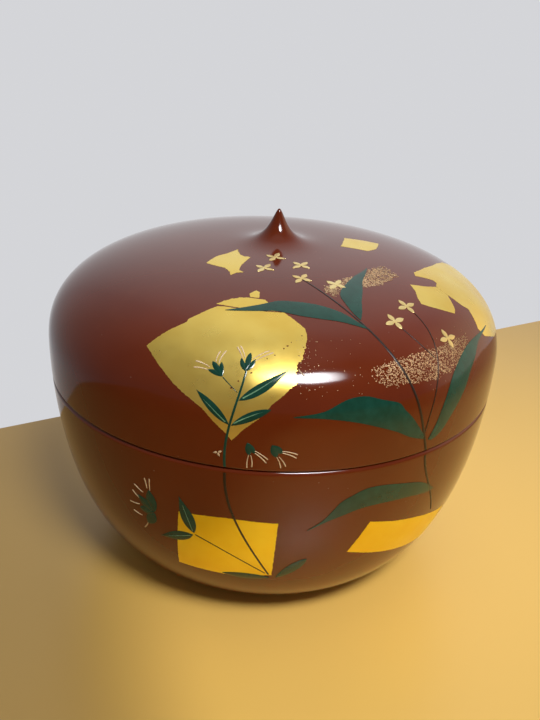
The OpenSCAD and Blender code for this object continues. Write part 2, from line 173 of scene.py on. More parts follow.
def point_rise(r, h):
    """Height that the point adds to the crown at a radius."""
    return h * np.exp(-(np.sqrt(r * r + POINT_BLUNT**2) - POINT_BLUNT) / POINT_FLARE)


def crown(inset):
    """Crown and its point from the widest place up to the tip."""
    r = MAX_R - inset
    h = CROWN_H - inset
    rim = dome(r, h, np.linspace(0, CROWN_END, CROWN_STEPS + 1))
    x = rim[-1, 0] * np.linspace(1, 0, POINT_STEPS + 1)[1:] ** 2
    top = np.stack([x, MAX_Z + h * (1 - (x / r) ** CROWN_POWER) ** (1 / CROWN_POWER)], 1)
    curve = np.concatenate([rim, top])
    curve[:, 1] += point_rise(curve[:, 0], POINT_H - POINT_INSET * inset)
    return curve


def roof(grow):
    """Roof of the lid's hollow, from its rim to the axis."""
    return dome(BORE_R + grow, ROOF_H + grow, np.linspace(0, 90, ROOF_STEPS + 1))


def rounding(centre, r, start, end):
    """Rounded edge between two angles in degrees."""
    v = np.radians(np.linspace(start, end, EDGE_STEPS + 1))
    return np.stack([centre[0] + r * np.cos(v), centre[1] + r * np.sin(v)], 1)


# --- Surface chart -----------------------------------------

# A chart place is an azimuth in degrees, 0 in front and 90 to the right, and a length in millimetres
# up the side from the seam

outline = np.concatenate([stretch(side(0), 0, MAX_Z, CHART_STEPS), crown(0)[1:]])
outline_length = np.concatenate([[0], np.cumsum(np.hypot(*np.diff(outline, axis=0).T))])
outline_length -= np.interp(SEAM_Z, outline[:, 1], outline_length)
NORMAL_REACH = 0.3
CHART_MM = MAX_R * math.pi / 180


def shell_r(s):
    """Radius of the shell at a length."""
    return np.interp(s, outline_length, outline[:, 0])


def shell_z(s):
    """Height of the shell at a length."""
    return np.interp(s, outline_length, outline[:, 1])


def degree_mm(s):
    """Millimetres to a degree of azimuth at a length."""
    return shell_r(s) * math.pi / 180


def on_shell(a, s, lift):
    """Points in metres, at azimuths a and lengths s, raised by lift millimetres above the lacquer."""
    rise_r = shell_r(s + NORMAL_REACH) - shell_r(s - NORMAL_REACH)
    rise_z = shell_z(s + NORMAL_REACH) - shell_z(s - NORMAL_REACH)
    size = np.hypot(rise_r, rise_z)
    r = shell_r(s) + lift * rise_z / size
    z = shell_z(s) - lift * rise_r / size
    v = np.radians(a)
    return np.stack([r * np.sin(v), -r * np.cos(v), z], -1) * MM


# --- Meshes -----------------------------------------------


def make_piece(name, points, faces, sharp):
    """Closed mesh with its normals outwards, smooth but for its sharp edges."""
    mesh = bpy.data.meshes.new(name)
    mesh.from_pydata([tuple(p) for p in points], [], faces)
    work = bmesh.new()
    work.from_mesh(mesh)
    bmesh.ops.recalc_face_normals(work, faces=work.faces)
    work.to_mesh(mesh)
    work.free()
    mesh.shade_smooth()
    mesh.set_sharp_from_angle(angle=math.radians(sharp))
    piece = bpy.data.objects.new(name, mesh)
    bpy.context.scene.collection.objects.link(piece)
    return piece


SAME_PLACE = 1e-5


def lathe(name, parts, sharp=WOOD_SHARP):
    """Solid of revolution from the stretches of its closed section."""
    section = np.concatenate([np.atleast_2d(np.array(p, float)) for p in parts])
    keep = np.ones(len(section), bool)
    keep[1:] = np.hypot(*np.diff(section, axis=0).T) > SAME_PLACE
    section = section[keep]
    v = np.linspace(0, 2 * math.pi, SEGMENTS, endpoint=False)
    points = []
    rings = []
    for r, z in section:
        if r < SAME_PLACE:
            rings.append([len(points)])
            points.append((0, 0, z * MM))
        else:
            rings.append(list(range(len(points), len(points) + SEGMENTS)))
            points.extend(np.stack([r * np.sin(v), -r * np.cos(v), np.full(SEGMENTS, z)], 1) * MM)
    faces = []
    for k, ring in enumerate(rings):
        following = rings[(k + 1) % len(rings)]
        if len(ring) == 1 and len(following) == 1:
            continue
        for i in range(SEGMENTS):
            j = (i + 1) % SEGMENTS
            if len(ring) == 1:
                faces.append((ring[0], following[i], following[j]))
            elif len(following) == 1:
                faces.append((ring[i], ring[j], following[0]))
            else:
                faces.append((ring[i], ring[j], following[j], following[i]))
    return make_piece(name, points, faces, sharp)


def relief(name, grids):
    """Closed reliefs on the shell. Each grid is (azimuths, lengths, heights of the top, underside)."""
    points = []
    faces = []
    for a, s, top, low in grids:
        rows, cols = a.shape
        base = len(points)
        count = rows * cols
        for height in (top.ravel(), np.full(count, low)):
            points.extend(on_shell(a.ravel(), s.ravel(), height))
        for i in range(rows - 1):
            for j in range(cols - 1):
                c = base + i * cols + j
                faces.append((c, c + 1, c + cols + 1, c + cols))
                faces.append((c + count, c + count + cols, c + count + cols + 1, c + count + 1))
        rim = list(range(cols)) + [i * cols + cols - 1 for i in range(1, rows)]
        rim += [(rows - 1) * cols + j for j in range(cols - 2, -1, -1)]
        rim += [i * cols for i in range(rows - 2, 0, -1)]
        for k, first in enumerate(rim):
            second = rim[(k + 1) % len(rim)]
            faces.append((base + first, base + count + first, base + count + second, base + second))
    return make_piece(name, points, faces, RELIEF_SHARP)


def blade_share(t, belly):
    """Share of a blade's width, 1 at its belly and 0 at its ends."""
    rise = 0.85
    fall = rise * (1 - belly) / belly
    return t**rise * (1 - t) ** fall / (belly**rise * (1 - belly) ** fall)


AHEAD = 0.005


def ribbon(midline, half, low, high, steps, cols, roundness):
    """Grid along a midline. half(t) gives its half width in millimetres. Its top is rounded across."""
    t = np.linspace(0, 1, steps + 1)
    centre = bezier(midline, t)
    ahead = bezier(midline, t + AHEAD) - bezier(midline, t - AHEAD)
    degree = degree_mm(centre[:, 1])
    along = np.stack([ahead[:, 0] * degree, ahead[:, 1]], 1)
    along /= np.hypot(*along.T)[:, None]
    u = np.linspace(-1, 1, 2 * cols + 1)[None, :]
    width = half(t)[:, None] * u
    a = centre[:, :1] - width * along[:, 1:] / degree[:, None]
    s = centre[:, 1:] + width * along[:, :1]
    top = low + (high - low) * (1 - roundness * u * u) * np.ones_like(a)
    return a, s, top, low


def straight(start, end, bow=0.0):
    """Midline between two chart points, bowed to its left by millimetres."""
    start = np.array(start, float)
    end = np.array(end, float)
    degree = degree_mm((start[1] + end[1]) / 2)
    d = (end - start) * (degree, 1)
    left = np.array([-d[1] / degree, d[0]]) / np.hypot(*d) * bow * 4 / 3
    return [start, start + (end - start) / 3 + left, start + (end - start) * 2 / 3 + left, end]


# Heights of the layers of ornament above the lacquer, in millimetres
FOIL_LOW, FOIL_HIGH = 0.004, 0.022
DUST_LOW, DUST_HIGH = 0.006, 0.040
STEM_LOW, STEM_HIGH = 0.030, 0.075
LEAF_LOW, LEAF_HIGH = 0.035, 0.100
RIB_LOW, RIB_HIGH = 0.080, 0.125
STAMEN_LOW, STAMEN_HIGH = 0.030, 0.095
EYE_LOW, EYE_HIGH = 0.060, 0.125
# Least half width of the end of a blade
BLUNT = 0.02
# Points between two chart points of a large leaf's edge, and the grid of the leaf
EDGE_POINTS = 12
WIDE_STEPS = 72
WIDE_COLS = 12
# Width in millimetres from which a large leaf has its full thickness, and the least share of it
FULL_WIDTH = 4.0
LEAST_SWELL = 0.2


def smooth(points, count):
    """Points evenly spaced along a smooth curve through a few chart points."""
    p = np.array(points, float)
    p = np.concatenate([[2 * p[0] - p[1]], p, [2 * p[-1] - p[-2]]])
    curve = []
    for k in range(1, len(p) - 2):
        for t in np.linspace(0, 1, EDGE_POINTS, endpoint=False):
            a, b, c, d = p[k - 1 : k + 3]
            curve.append(0.5 * (2 * b + (c - a) * t + (2 * a - 5 * b + 4 * c - d) * t**2
                                + (3 * b - a - 3 * c + d) * t**3))
    curve = np.array(curve + [p[-2]])
    reach = np.concatenate([[0], np.cumsum(np.hypot(*(np.diff(curve, axis=0) * (CHART_MM, 1)).T))])
    at = np.linspace(0, reach[-1], count)
    return np.stack([np.interp(at, reach, curve[:, 0]), np.interp(at, reach, curve[:, 1])], 1)


def wide_leaf(upper, lower):
    """Leaf between its upper and lower edges, each through a few chart points from tip to base."""
    first = smooth(upper, WIDE_STEPS + 1)
    second = smooth(lower, WIDE_STEPS + 1)
    u = np.linspace(0, 1, WIDE_COLS + 1)[None, :]
    a = first[:, :1] + (second[:, :1] - first[:, :1]) * u
    s = first[:, 1:] + (second[:, 1:] - first[:, 1:]) * u
    gap = np.hypot((a[:, 0] - a[:, -1]) * CHART_MM, s[:, 0] - s[:, -1])
    swell = np.clip(gap / FULL_WIDTH, LEAST_SWELL, 1)[:, None] * (1 - (2 * u - 1) ** 2) ** 0.6
    top = LEAF_LOW + (LEAF_HIGH - LEAF_LOW) * (0.35 + 0.65 * swell)
    return a, s, top, LEAF_LOW


def small_leaf(start, end, width, belly=0.4, bow=0.0):
    """Leaf, petal or scale of a bud from its base to its tip."""
    def half(t):
        return np.maximum(BLUNT, width / 2 * blade_share(t.clip(0, 1), belly))

    midline = straight(start, end, bow)
    return ribbon(midline, half, LEAF_LOW, LEAF_HIGH, steps=24, cols=4, roundness=0.75)


def stem(midline, width, end_width, steps=60):
    """Stem that thins or thickens evenly along a midline."""
    def half(t):
        return (width + (end_width - width) * t) / 2

    return ribbon(midline, half, STEM_LOW, STEM_HIGH, steps, cols=2, roundness=0.8)


def rib(start, end, width, bow=0.0):
    """Pale vein on a small leaf, thinning towards its end."""
    def half(t):
        return np.maximum(BLUNT / 2, width / 2 * (1 - t) ** 0.6)

    return ribbon(straight(start, end, bow), half, RIB_LOW, RIB_HIGH, steps=16, cols=1, roundness=0.6)


def stamen(start, end, bow=0.0, width=0.26):
    """Thread that thickens towards its free end, which is cut a little narrower."""
    def half(t):
        return width / 2 * (0.55 + 0.45 * t) * np.where(t > 0.97, 0.6, 1)

    midline = straight(start, end, bow)
    return ribbon(midline, half, STAMEN_LOW, STAMEN_HIGH, steps=16, cols=2, roundness=0.8)


PETALS = 4
PETAL_L = 2.0
PETAL_W = 0.92
PETAL_START = 0.1
SHORT_PETAL = 0.9
EYE_R = 0.36


def floret(a, s, turn):
    """Four petals round a chart point, with a thick dab of gold over their middle."""
    degree = degree_mm(s)

    def half(t):
        return np.maximum(BLUNT, EYE_R * np.sqrt((1 - (2 * t - 1) ** 2).clip(0, 1)))

    reach = EYE_R / degree
    across = straight((a - reach, s), (a + reach, s))
    petals = [ribbon(across, half, EYE_LOW, EYE_HIGH, steps=12, cols=3, roundness=0.5)]
    for k in range(PETALS):
        v = math.radians(turn + 360 / PETALS * k)
        step = np.array([math.cos(v) / degree, math.sin(v)])
        length = PETAL_L * (SHORT_PETAL if k % 2 else 1.0)
        petals.append(small_leaf((a, s) + PETAL_START * step, (a, s) + length * step, PETAL_W, 0.48))
    return petals


# --- Torn foil --------------------------------------------


def inside(points, loop):
    """Whether each point lies in a closed loop, both in flat millimetres."""
    x, y = points[:, 0], points[:, 1]
    result = np.zeros(len(points), bool)
    following = np.roll(loop, -1, axis=0)
    for (x1, y1), (x2, y2) in zip(loop, following):
        crosses = (y1 > y) != (y2 > y)
        at = x1 + (y - y1) * (x2 - x1) / (y2 - y1 if y2 != y1 else 1)
        result ^= crosses & (x < at)
    return result


def on_sheet(points, loop, holes):
    """Whether each point lies on a sheet: inside its loop and outside its holes."""
    result = inside(points, loop)
    for hole in holes:
        result &= ~inside(points, hole)
    return result


# Millimetres between the points of a torn edge, and how often its waves come
TEAR_STEP = 0.12
COARSE_TEAR = 0.9
FINE_TEAR = 3.1


def torn(corners, seed, ragged):
    """Loop in flat millimetres through chart corners. A third value tears the edge from that corner."""
    loop = []
    for k, corner in enumerate(corners):
        following = corners[(k + 1) % len(corners)]
        start = np.array([corner[0] * CHART_MM, corner[1]])
        end = np.array([following[0] * CHART_MM, following[1]])
        tear = corner[2] if len(corner) > 2 else ragged
        length = np.hypot(*(end - start))
        left = np.array([start[1] - end[1], end[0] - start[0]]) / length
        count = max(2, int(length / TEAR_STEP))
        for i in range(count):
            at = start + (end - start) * i / count
            coarse = noise.noise(Vector((at[0] * COARSE_TEAR, at[1] * COARSE_TEAR, seed)))
            fine = noise.noise(Vector((at[0] * FINE_TEAR, at[1] * FINE_TEAR, seed + 7)))
            loop.append(at + left * tear * (0.8 * coarse + 0.9 * fine) * 2)
    return np.array(loop)


PINHOLE_CORNERS = 9
PINHOLE_RAGGED = (0.65, 1.2)
PINHOLE_SQUASH = 0.8


def pinhole(a, s, size, seed):
    """Small ragged hole, as a loop in flat millimetres."""
    rng = random.Random(seed)
    loop = []
    for k in range(PINHOLE_CORNERS):
        v = 2 * math.pi * k / PINHOLE_CORNERS
        r = size * rng.uniform(*PINHOLE_RAGGED)
        loop.append((a * CHART_MM + r * math.cos(v), s + PINHOLE_SQUASH * r * math.sin(v)))
    return np.array(loop)


# Least share of the spacing between a sheet's edges and the points that fill it
EDGE_GAP = 0.35
SAME_POINT = 1e-6


def foil(name, loop, holes, spacing):
    """Thin sheet with a torn outline and holes, all loops in flat millimetres."""
    borders = [loop, *holes]
    low, high = loop.min(0), loop.max(0)
    xs = np.arange(low[0], high[0], spacing)
    ys = np.arange(low[1], high[1], spacing)
    fill = np.stack(np.meshgrid(xs, ys), -1).reshape(-1, 2)
    fill[:, 0] += (np.arange(len(fill)) // len(xs) % 2) * spacing / 2
    keep = on_sheet(fill, loop, holes)
    edges = []
    start = 0
    for border in borders:
        gap = np.hypot(*(fill[:, None, :] - border[None, :, :]).transpose(2, 0, 1)).min(1)
        keep &= gap > spacing * EDGE_GAP
        count = len(border)
        edges.extend((start + i, start + (i + 1) % count) for i in range(count))
        start += count
    corners = [Vector(p) for p in np.concatenate([*borders, fill[keep]])]
    result = delaunay_2d_cdt(corners, edges, [], 0, SAME_POINT)
    flat = np.array([tuple(v) for v in result[0]])
    triangles = [tuple(face) for face in result[2]]
    kept = on_sheet(np.array([flat[list(face)].mean(0) for face in triangles]), loop, holes)
    triangles = [face for face, stays in zip(triangles, kept) if stays]
    used = sorted({i for face in triangles for i in face})
    order = {old: new for new, old in enumerate(used)}
    a, s = flat[used].T
    count = len(used)
    points = []
    for height in (FOIL_HIGH, FOIL_LOW):
        points.extend(on_shell(a / CHART_MM, s, np.full(count, height)))
    faces = []
    rim = {}
    for face in triangles:
        i, j, k = (order[v] for v in face)
        faces.append((i, j, k))
        faces.append((count + k, count + j, count + i))
        for edge in ((i, j), (j, k), (k, i)):
            if edge[::-1] in rim:
                del rim[edge[::-1]]
            else:
                rim[edge] = True
    faces.extend((j, i, count + i, count + j) for i, j in rim)
    return make_piece(name, points, faces, RELIEF_SHARP)


# --- Sprinkled gold ---------------------------------------

FLAKE_CORNERS = (4, 6)
FLAKE_STRETCH = (0.65, 1.5)
FLAKE_TILT = 0.12
FLAKE_RAGGED = 0.25


def flakes(name, places, sizes, rng):
    """Thin tilted flakes at chart places."""
    points = []
    faces = []
    for (a, s), size in zip(places, sizes):
        count = rng.randint(*FLAKE_CORNERS)
        turn = rng.uniform(0, 2 * math.pi)
        stretch_by = rng.uniform(*FLAKE_STRETCH)
        tilt = [rng.uniform(-FLAKE_TILT, FLAKE_TILT) for _ in range(2)]
        degree = degree_mm(s)
        corners = []
        for k in range(count):
            v = turn + 2 * math.pi * (k + rng.uniform(-FLAKE_RAGGED, FLAKE_RAGGED)) / count
            x = size * stretch_by * math.cos(v)
            y = size / stretch_by * math.sin(v)
            corners.append((a + x / degree, s + y, x * tilt[0] + y * tilt[1]))
        corners = np.array(corners)
        base = len(points)
        for height in (DUST_HIGH, DUST_LOW):
            points.extend(on_shell(corners[:, 0], corners[:, 1], height + corners[:, 2]))
        faces.append(tuple(base + k for k in range(count)))
        faces.append(tuple(base + count + k for k in reversed(range(count))))
        for k in range(count):
            j = (k + 1) % count
            faces.append((base + k, base + count + k, base + count + j, base + j))
    return make_piece(name, points, faces, FLAKE_SHARP)


def scatter(rng, count, low, high, density):
    """Chart places in a box, kept with the chance that density(a, s) gives."""
    places = []
    while len(places) < count:
        a = rng.uniform(low[0], high[0])
        s = rng.uniform(low[1], high[1])
        if rng.random() < density(a, s):
            places.append((a, s))
    return places


# --- Materials --------------------------------------------


class Nodes:
    """Node tree of a material or world, with short calls for the nodes that the looks need."""

    def __init__(self, owner, place):
        owner.use_nodes = True
        self.tree = owner.node_tree
        self.place = self.add("ShaderNodeTexCoord").outputs[place]

    def feed(self, socket, value):
        """Links a socket to an output, or sets its value."""
        if isinstance(value, bpy.types.NodeSocket):
            self.tree.links.new(value, socket)
        elif socket.type == "RGBA":
            socket.default_value = (*value, 1)
        else:
            socket.default_value = value

    def add(self, kind, inputs=None, **settings):
        """New node with its settings, and with what its inputs are fed."""
        node = self.tree.nodes.new(kind)
        for key, value in settings.items():
            setattr(node, key, value)
        for key, value in (inputs or {}).items():
            self.feed(node.inputs[key], value)
        return node

    def along(self, direction, source=None):
        """How far a place, or another vector, lies along a direction."""
        inputs = {0: source or self.place, 1: direction}
        return self.add("ShaderNodeVectorMath", inputs, operation="DOT_PRODUCT").outputs["Value"]

    def share(self, source, start, end, kind="SMOOTHSTEP"):
        """Share from 0 to 1 between two values of a source."""
        inputs = {"Value": source, "From Min": start, "From Max": end}
        return self.add("ShaderNodeMapRange", inputs, interpolation_type=kind).outputs["Result"]

    def ramp(self, source, stops):
        """Colours or greys along a source, at the given positions."""
        node = self.add("ShaderNodeValToRGB", {"Fac": source})
        elements = node.color_ramp.elements
        while len(elements) < len(stops):
            elements.new(1.0)
        for element, (position, colour) in zip(elements, stops):
            element.position = position
            grey = isinstance(colour, (int, float))
            element.color = (colour, colour, colour, 1) if grey else (*colour, 1)
        return node.outputs["Color"]

    def blend(self, share, first, second, mode="MIX"):
        """From the first colour to the second, by a share."""
        inputs = {0: share, 6: first, 7: second}
        return self.add("ShaderNodeMix", inputs, data_type="RGBA", blend_type=mode).outputs[2]


class Finish(Nodes):
    """Node material built around one Principled shader."""

    def __init__(self, name, **sockets):
        self.material = bpy.data.materials.new(name)
        super().__init__(self.material, "Object")
        self.shader = self.tree.nodes["Principled BSDF"]
        for socket, value in sockets.items():
            self.feed(self.shader.inputs[socket], value)

    def stretched(self, scale):
        """The object's own coordinates, scaled unevenly."""
        return self.add("ShaderNodeMapping", {"Vector": self.place, "Scale": scale}).outputs["Vector"]

    def noise(self, scale, detail, roughness=0.55, vector=None):
        """Clouds of a scale, with finer clouds in them."""
        inputs = {"Scale": scale, "Detail": detail, "Roughness": roughness}
        inputs["Vector"] = vector or self.place
        return self.add("ShaderNodeTexNoise", inputs).outputs["Fac"]

    def cells(self, scale):
        """Distance from the middle of the nearest cell."""
        inputs = {"Vector": self.place, "Scale": scale}
        return self.add("ShaderNodeTexVoronoi", inputs).outputs["Distance"]

    def bump(self, source, distance, strength, after=None):
        """Relief by a source, over the relief made before."""
        inputs = {"Height": source, "Distance": distance, "Strength": strength}
        if after is not None:
            inputs["Normal"] = after
        return self.add("ShaderNodeBump", inputs).outputs["Normal"]

    def finish(self, colour, roughness, normal=None):
        """The material, with its shader fed."""
        for socket, source in (("Base Color", colour), ("Roughness", roughness), ("Normal", normal)):
            if source is not None:
                self.feed(self.shader.inputs[socket], source)
        return self.material


def lacquer(name, deep, light, worn):
    """Polished lacquer: soft depth in its colour, faint brush marks, dust specks and hairline rubs."""
    f = Finish(name, IOR=1.52)
    depth = f.ramp(f.noise(38, 3), [(0.35, deep), (0.68, light)])
    rub = f.ramp(f.noise(900, 2, vector=f.stretched((1, 1, 0.12))), [(0.66, 0), (0.80, 1)])
    colour = f.blend(f.ramp(f.noise(170, 4), [(0.62, 0), (0.82, 0.3)]), depth, worn)
    specks = f.ramp(f.cells(620), [(0.035, 1), (0.060, 0)])
    sparse = f.ramp(f.noise(90, 1), [(0.60, 0), (0.66, 0.5)])
    dust = f.blend(1.0, specks, sparse, "MULTIPLY")
    colour = f.blend(dust, colour, (0.45, 0.33, 0.26))
    roughness = f.blend(rub, (0.10, 0.10, 0.10), (0.16, 0.16, 0.16))
    ripple = f.bump(f.noise(260, 2, vector=f.stretched((1, 1, 0.5))), 0.00001, 0.2)
    return f.finish(colour, roughness, ripple)


def gold(name, pale, deep, roughness=(0.26, 0.36), wrinkle=0.000010):
    """Beaten metal: cloudy colour, creases of three sizes and a slightly uneven sheen."""
    f = Finish(name, Metallic=0.82)
    cloud = f.ramp(f.noise(90, 3), [(0.32, deep), (0.60, pale)])
    grain = f.noise(1500, 3, 0.6)
    colour = f.blend(f.ramp(grain, [(0.55, 0), (0.80, 0.3)]), cloud, deep)
    uneven = f.ramp(f.noise(300, 4), [(0.3, roughness[0]), (0.7, roughness[1])])
    swell = f.bump(f.noise(70, 1), wrinkle * 90, 1.0)
    creases = f.bump(f.noise(160, 4, 0.5), wrinkle * 3, 0.5, swell)
    fine = f.bump(grain, wrinkle * 0.3, 0.5, creases)
    return f.finish(colour, uneven, fine)


def paint(name, deep, light, roughness):
    """Lacquer paint laid on with a brush: patches of depth and a soft gloss."""
    f = Finish(name, IOR=1.5)
    depth = f.noise(520, 4, 0.6)
    colour = f.ramp(depth, [(0.30, deep), (0.72, light)])
    sheen = f.ramp(f.noise(800, 3), [(0.3, roughness * 0.8), (0.7, roughness * 1.25)])
    return f.finish(colour, sheen, f.bump(depth, 0.00002, 0.5))


def turned_wood(name):
    """Close-grained wood, with its grain drawn out one way."""
    f = Finish(name)
    grain = f.noise(60, 5, 0.65, f.stretched((1, 0.12, 1)))
    colour = f.ramp(grain, [(0.3, (0.26, 0.14, 0.06)), (0.7, (0.52, 0.34, 0.18))])
    pores = f.bump(f.noise(1400, 3, 0.6, f.stretched((1, 0.2, 1))), 0.00005, 0.6)
    return f.finish(colour, f.ramp(grain, [(0.3, 0.55), (0.7, 0.72)]), pores)


# Each finish: its maker and what the maker is told
RECIPES = {
    "red_lacquer": (lacquer, (0.112, 0.0135, 0.0010), (0.142, 0.0185, 0.0020), (0.175, 0.032, 0.007)),
    "black_lacquer": (lacquer, (0.006, 0.0045, 0.004), (0.014, 0.010, 0.008), (0.03, 0.02, 0.016)),
    "turned_wood": (turned_wood,),
    "gold_foil": (gold, (1.0, 0.74, 0.17), (0.92, 0.62, 0.11)),
    "deep_gold_foil": (gold, (1.0, 0.78, 0.05), (0.94, 0.66, 0.02), (0.30, 0.42), 0.000006),
    "gold_dust": (gold, (0.86, 0.62, 0.35), (0.58, 0.39, 0.20), (0.40, 0.60)),
    "gold_paint": (gold, (1.0, 0.80, 0.36), (0.86, 0.60, 0.20), (0.30, 0.45)),
    "green_paint": (paint, (0.0015, 0.038, 0.022), (0.005, 0.062, 0.040), 0.16),
    "brown_paint": (paint, (0.012, 0.005, 0.003), (0.026, 0.010, 0.005), 0.32),
    "cream_paint": (paint, (0.62, 0.42, 0.22), (0.85, 0.66, 0.42), 0.4),
    "pale_green_paint": (paint, (0.10, 0.26, 0.14), (0.22, 0.42, 0.24), 0.4),
}
finishes = {name: make(name, *values) for name, (make, *values) in RECIPES.items()}


def place(piece, body, nodes, slot, finish=None):
    """Gives a piece its finish and the body it rides on, and hides the CAD nodes that it stands for."""
    piece.data.materials.clear()
    piece.data.materials.append(finishes[finish or slot])
    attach(piece, body)
    if nodes:
        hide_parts(*nodes)


# --- Turned pieces ----------------------------------------

# Angles in degrees at which the rounded edges run out into the side
BODY_EDGE_ANGLE = 6
LID_EDGE_ANGLE = -4


def turn_body():
    """The body's wood, its lacquer outside, inside and under the foot, and its lip."""
    edge_z = BODY_TOP - BODY_EDGE_R
    coat_top = BODY_TOP - OUTER_COAT
    foot_r = FOOT_R - OUTER_COAT
    floor_low = FLOOR_Z - INNER_COAT
    base_low = BASE_LOW[2]
    base_top = BASE_HIGH[2]
    coat = lathe("body_coat", [
        (foot_r, OUTER_COAT),
        (foot_r, 0),
        stretch(side(0), 0, edge_z, BODY_STEPS),
        rounding((side_r(edge_z) - BODY_EDGE_R, edge_z), BODY_EDGE_R, BODY_EDGE_ANGLE, 90),
        (LIP_R, BODY_TOP),
        (LIP_R, coat_top),
        stretch(side(OUTER_COAT), coat_top, OUTER_COAT, CORE_STEPS),
    ], COAT_SHARP)
    place(coat, "body", ["body_outer_lacquer"], "red_lacquer")
    wood = lathe("body_wood", [
        (0, base_top),
        (FOOT_HOLLOW_R, base_top),
        (FOOT_HOLLOW_R, 0),
        (foot_r, 0),
        (foot_r, OUTER_COAT),
        stretch(side(OUTER_COAT), OUTER_COAT, coat_top, CORE_STEPS),
        (LIP_R, coat_top),
        (LIP_R, LIP_BOTTOM),
        stretch(hollow(INNER_COAT), LIP_BOTTOM, floor_low, LINING_STEPS),
        (0, floor_low),
    ])
    place(wood, "body", ["body_core"], "turned_wood")
    lining = lathe("body_lining", [
        (0, FLOOR_Z),
        stretch(hollow(0), FLOOR_Z, LIP_BOTTOM, HOLLOW_STEPS),
        stretch(hollow(INNER_COAT), LIP_BOTTOM, floor_low, LINING_STEPS),
        (0, floor_low),
    ])
    place(lining, "body", ["body_inner_lacquer"], "black_lacquer")
    base = lathe("foot_lining", [
        (0, base_low),
        (FOOT_HOLLOW_R, base_low),
        (FOOT_HOLLOW_R, base_top),
        (0, base_top),
    ])
    place(base, "body", ["base_lacquer"], "black_lacquer")
    lip = lathe("lip", [
        (MOUTH_R, LIP_BOTTOM),
        (LIP_R, LIP_BOTTOM),
        rounding((LIP_R - LIP_EDGE_R, LIP_TOP - LIP_EDGE_R), LIP_EDGE_R, 0, 90),
        rounding((MOUTH_R + LIP_EDGE_R, LIP_TOP - LIP_EDGE_R), LIP_EDGE_R, 90, 180),
    ])
    place(lip, "body", ["lip_ring"], "black_lacquer")


def turn_lid():
    """The lid's wood, and its lacquer outside and inside."""
    edge_z = LID_BOTTOM + LID_EDGE_R
    coat_low = LID_BOTTOM + OUTER_COAT
    inner_r = BORE_R + INNER_COAT
    coat = lathe("lid_coat", [
        (inner_r, LID_BOTTOM),
        rounding((side_r(edge_z) - LID_EDGE_R, edge_z), LID_EDGE_R, -90, LID_EDGE_ANGLE),
        stretch(side(0), edge_z, MAX_Z, LID_STEPS),
        crown(0)[1:],
        crown(OUTER_COAT)[:0:-1],
        stretch(side(OUTER_COAT), MAX_Z, coat_low, LID_CORE_STEPS),
        (inner_r, coat_low),
    ], COAT_SHARP)
    place(coat, "lid", ["lid_outer_lacquer"], "red_lacquer")
    wood = lathe("lid_wood", [
        (inner_r, coat_low),
        stretch(side(OUTER_COAT), coat_low, MAX_Z, LID_CORE_STEPS),
        crown(OUTER_COAT)[1:],
        roof(INNER_COAT)[::-1],
    ])
    place(wood, "lid", ["lid_core"], "turned_wood")
    lining = lathe("lid_lining", [
        (BORE_R, LID_BOTTOM),
        roof(0),
        roof(INNER_COAT)[::-1],
        (inner_r, LID_BOTTOM),
    ])
    place(lining, "lid", ["lid_inner_lacquer"], "black_lacquer")


# --- Gold -------------------------------------------------


def lay_foil(name, corners, seed, ragged=0.04, holes=(), spacing=0.55, body="lid", slot="gold_foil"):
    """Foil torn through chart corners. Its CAD node is named after its body and itself."""
    piece = foil(name, torn(corners, seed, ragged), holes, spacing)
    place(piece, body, [body + "_" + name], slot)


